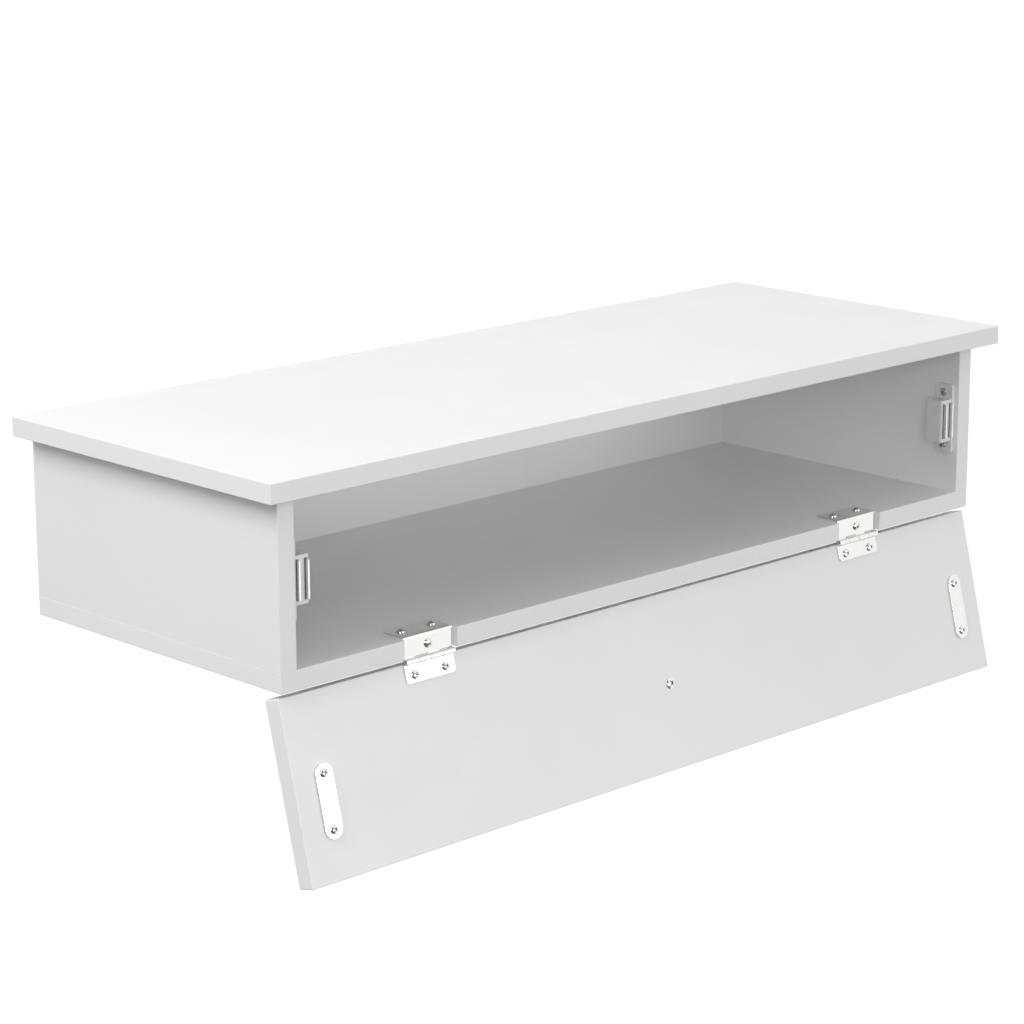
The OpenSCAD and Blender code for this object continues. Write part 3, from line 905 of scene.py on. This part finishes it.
# ---- Knob ------------------------------------------------------------------------------------
# Turned from brass bar and satin nickel plated: a foot against the flap, a hollowed neck and a
# crowned grip. It stands on the flap's outer face, on the large screw's thread.
knob_steps = 72
grip_r = 14 * mm
grip_l = 9 * mm
grip_round = 1.6 * mm
foot_r = 8.5 * mm
foot_l = 2.5 * mm
neck_r = 5.6 * mm
knob_l = 24 * mm
crown_drop = 3.2 * mm
crown_shares = (0.85, 0.7, 0.5, 0.3, 0.1, 0.01)
hub_r = 0.4 * mm
foot_under = 0.5 * mm
foot_over = 0.8 * mm
cove_depth = 0.9 * mm
cove_steps = 12
rim_round = 1.0 * mm
rim_drop = 0.6 * mm
rim_turn = 55
satin_dark = (0.70, 0.69, 0.67)
satin_light = (0.80, 0.79, 0.77)
satin_rough = (0.26, 0.4)
lathe_scale = 900
lathe_wander = 1.5
lathe_depth = 0.004 * mm


def satin_nickel(axis_point, axis_turn):
    made, tree, shader = new_material("satin_nickel")
    shader.inputs["Metallic"].default_value = 1.0
    place = tree.nodes.new("ShaderNodeTexCoord")
    centred = tree.nodes.new("ShaderNodeMapping")
    centred.vector_type = "TEXTURE"
    centred.inputs["Location"].default_value = axis_point
    centred.inputs["Rotation"].default_value = axis_turn
    tree.links.new(place.outputs["Object"], centred.inputs["Vector"])
    rings = tree.nodes.new("ShaderNodeTexWave")
    rings.wave_type = "RINGS"
    rings.rings_direction = "Z"
    rings.inputs["Scale"].default_value = lathe_scale
    rings.inputs["Distortion"].default_value = lathe_wander
    tree.links.new(centred.outputs["Vector"], rings.inputs["Vector"])
    lathe_lines = mingled(tree, rings.outputs["Fac"], grain(tree, 500, 3.0), 0.4)
    clouded = mingled(tree, grain(tree, 90), lathe_lines, 0.3)
    tones(tree, clouded, satin_dark, satin_light, shader.inputs["Base Color"])
    level(tree, lathe_lines, *satin_rough, shader.inputs["Roughness"])
    bumps(tree, shader, lathe_lines, lathe_depth)
    return made


def arc(centre, radius, first, last, steps):
    """Points (radius, height) round a centre, between two angles in degrees."""
    points = []
    for step in range(steps + 1):
        turn = math.radians(first + (last - first) * step / steps)
        points.append((centre[0] + radius * math.cos(turn), centre[1] + radius * math.sin(turn)))
    return points


knob_low, knob_high = corners(solids("knob", flap_place)[0])
knob_middle = Vector(((knob_low.x + knob_high.x) / 2, knob_low.y, (knob_low.z + knob_high.z) / 2))
grip_z = knob_l - grip_l
cove = grip_z - foot_l
crown_r = (grip_r ** 2 + crown_drop ** 2) / (2 * crown_drop)
profile = [(hub_r, 0)] + arc((foot_r - foot_under, foot_under), foot_under, -90, 0, 3)
profile += arc((foot_r - foot_over, foot_l - foot_over), foot_over, 0, 80, 4)
profile += [(neck_r + cove_depth - cove_depth * math.sin(math.pi * i / cove_steps),
             foot_l + cove * i / cove_steps) for i in range(1, cove_steps)]
profile += arc((grip_r - grip_round, grip_z + grip_round), grip_round, -90, 0, 6)
profile += arc((grip_r - rim_round, knob_l - crown_drop - rim_drop), rim_round, 0, rim_turn, 4)
profile += [(grip_r * share, knob_l - crown_r + math.sqrt(crown_r ** 2 - (grip_r * share) ** 2))
            for share in crown_shares]
knob_place = flap_place @ Matrix.Translation(knob_middle) @ Matrix.Rotation(-math.pi / 2, 4, "X")
rings = turned_rings(profile, knob_steps)
mesh_work = bmesh.new()
add_rings(mesh_work, [[knob_place @ point for point in ring] for ring in rings])
knob_finish = satin_nickel(knob_place.to_translation(), knob_place.to_euler())
piece("turned_knob", mesh_work, [knob_finish], "flap", "knob_metal", "knob")


# ---- Studio ----------------------------------------------------------------------------------
# The desk hangs over a plain white floor that fades into a white background. Soft boxes light
# it from high on the left and from the front. The room is dark below, and metal mirrors it as
# white with a dark side at the lower left.
floor_z = -0.75
floor_middle = (0, -0.15, floor_z)
floor_reach = 3.4
floor_solid = 1.9
floor_glow = 0.35
floor_white = (0.9, 0.9, 0.9, 1)
floor_fade_end = 0.05
rim_steps = 96
room_light = 0.63
room_dark = 0.02
room_white = 1.03
mirror_white = 1.15
mirror_dark = 0.12
upward = (0, 0, 1)
dark_side = (-0.80, -0.50, -0.33)
desk_middle = (0, -0.15, 0)
left_high_power = 45
front_left_power = 21
front_low_power = 25


def white_floor():
    made, tree, shader = new_material("floor")
    shader.inputs["Base Color"].default_value = floor_white
    shader.inputs["Emission Color"].default_value = (1, 1, 1, 1)
    shader.inputs["Emission Strength"].default_value = floor_glow
    level(tree, grain(tree, 12), 0.9, 1.0, shader.inputs["Roughness"])
    place = tree.nodes.new("ShaderNodeTexCoord")
    away = tree.nodes.new("ShaderNodeVectorMath")
    away.operation = "DISTANCE"
    away.inputs[1].default_value = floor_middle
    tree.links.new(place.outputs["Object"], away.inputs[0])
    fade = tree.nodes.new("ShaderNodeMapRange")
    fade.interpolation_type = "SMOOTHSTEP"
    fade.inputs["From Min"].default_value = floor_solid
    fade.inputs["From Max"].default_value = floor_reach - floor_fade_end
    fade.inputs["To Min"].default_value = 1.0
    fade.inputs["To Max"].default_value = 0.0
    tree.links.new(away.outputs["Value"], fade.inputs["Value"])
    tree.links.new(fade.outputs["Result"], shader.inputs["Alpha"])
    return made


rim = [(floor_reach * math.cos(math.tau * i / rim_steps) + floor_middle[0],
        floor_reach * math.sin(math.tau * i / rim_steps) + floor_middle[1], floor_z)
       for i in range(rim_steps)]
floor_mesh = bpy.data.meshes.new("floor")
floor_mesh.from_pydata(rim, [], [range(rim_steps)])
floor_mesh.materials.append(white_floor())
floor = bpy.data.objects.new("floor", floor_mesh)
bpy.context.scene.collection.objects.link(floor)
floor.visible_diffuse = False
floor.visible_glossy = False
floor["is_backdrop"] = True


def towards(tree, way, first, last, before, after):
    """A value that changes as the direction turns towards way, between two cosines."""
    place = tree.nodes.new("ShaderNodeTexCoord")
    facing = tree.nodes.new("ShaderNodeVectorMath")
    facing.operation = "DOT_PRODUCT"
    facing.inputs[1].default_value = way
    tree.links.new(place.outputs["Generated"], facing.inputs[0])
    span = tree.nodes.new("ShaderNodeMapRange")
    span.interpolation_type = "SMOOTHSTEP"
    span.inputs["From Min"].default_value = first
    span.inputs["From Max"].default_value = last
    span.inputs["To Min"].default_value = before
    span.inputs["To Max"].default_value = after
    tree.links.new(facing.outputs["Value"], span.inputs["Value"])
    return span.outputs["Result"]


def chosen(tree, switch, plain, special):
    """plain, or special for the rays that switch stands for."""
    mix = tree.nodes.new("ShaderNodeMix")
    tree.links.new(switch, mix.inputs["Factor"])
    tree.links.new(plain, mix.inputs["A"])
    tree.links.new(special, mix.inputs["B"])
    return mix.outputs["Result"]


room = bpy.data.worlds.new("studio")
bpy.context.scene.world = room
room.use_nodes = True
room_tree = room.node_tree
rays = room_tree.nodes.new("ShaderNodeLightPath")
ceiling = towards(room_tree, upward, -0.3, 0.2, room_dark, room_light)
mirrored = towards(room_tree, dark_side, 0.0, 0.4, mirror_white, mirror_dark)
backdrop = towards(room_tree, upward, -1.0, 1.0, room_white, room_white)
lit = chosen(room_tree, rays.outputs["Is Glossy Ray"], ceiling, mirrored)
room_tree.links.new(chosen(room_tree, rays.outputs["Is Camera Ray"], lit, backdrop),
                    room_tree.nodes["Background"].inputs["Strength"])
room_tree.nodes["Background"].inputs["Color"].default_value = (1, 1, 1, 1)


def softbox(name, place, aim, width, height, power):
    data = bpy.data.lights.new(name, "AREA")
    data.shape = "RECTANGLE"
    data.size = width
    data.size_y = height
    data.energy = power
    lamp = bpy.data.objects.new(name, data)
    lamp.location = place
    lamp.rotation_euler = (Vector(aim) - Vector(place)).to_track_quat("-Z", "Y").to_euler()
    bpy.context.scene.collection.objects.link(lamp)


softbox("left_high_box", (-2.4, 0.0, 2.0), desk_middle, 1.4, 1.4, left_high_power)
softbox("front_left_box", (-2.2, -2.4, 0.7), (0.2, -0.15, -0.02), 1.4, 1.2, front_left_power)
softbox("front_low_box", (1.0, -3.3, -0.1), (0, -0.15, -0.05), 2.4, 0.9, front_low_power)


# ---- Camera ----------------------------------------------------------------------------------
# The camera looks down at the desk from the left of its front, through a long lens. It stands
# level enough that the uprights stay nearly parallel.
camera_place = (-1.7328, -1.9241, 0.5739)
camera_turn = 43.846
camera_tip = 14.252
camera_roll = 0.257
camera_lens = 111.77

camera_data = bpy.data.cameras.new("camera")
camera_data.lens = camera_lens
camera_data.sensor_width = 36.0
camera = bpy.data.objects.new("camera", camera_data)
camera.location = camera_place
look = Matrix.Rotation(-math.radians(camera_turn), 4, "Z")
look = look @ Matrix.Rotation(math.radians(90 - camera_tip), 4, "X")
look = look @ Matrix.Rotation(-math.radians(camera_roll), 4, "Z")
camera.rotation_euler = look.to_euler()
bpy.context.scene.collection.objects.link(camera)
bpy.context.scene.camera = camera
bpy.context.scene.view_settings.view_transform = "Standard"


low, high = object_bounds()
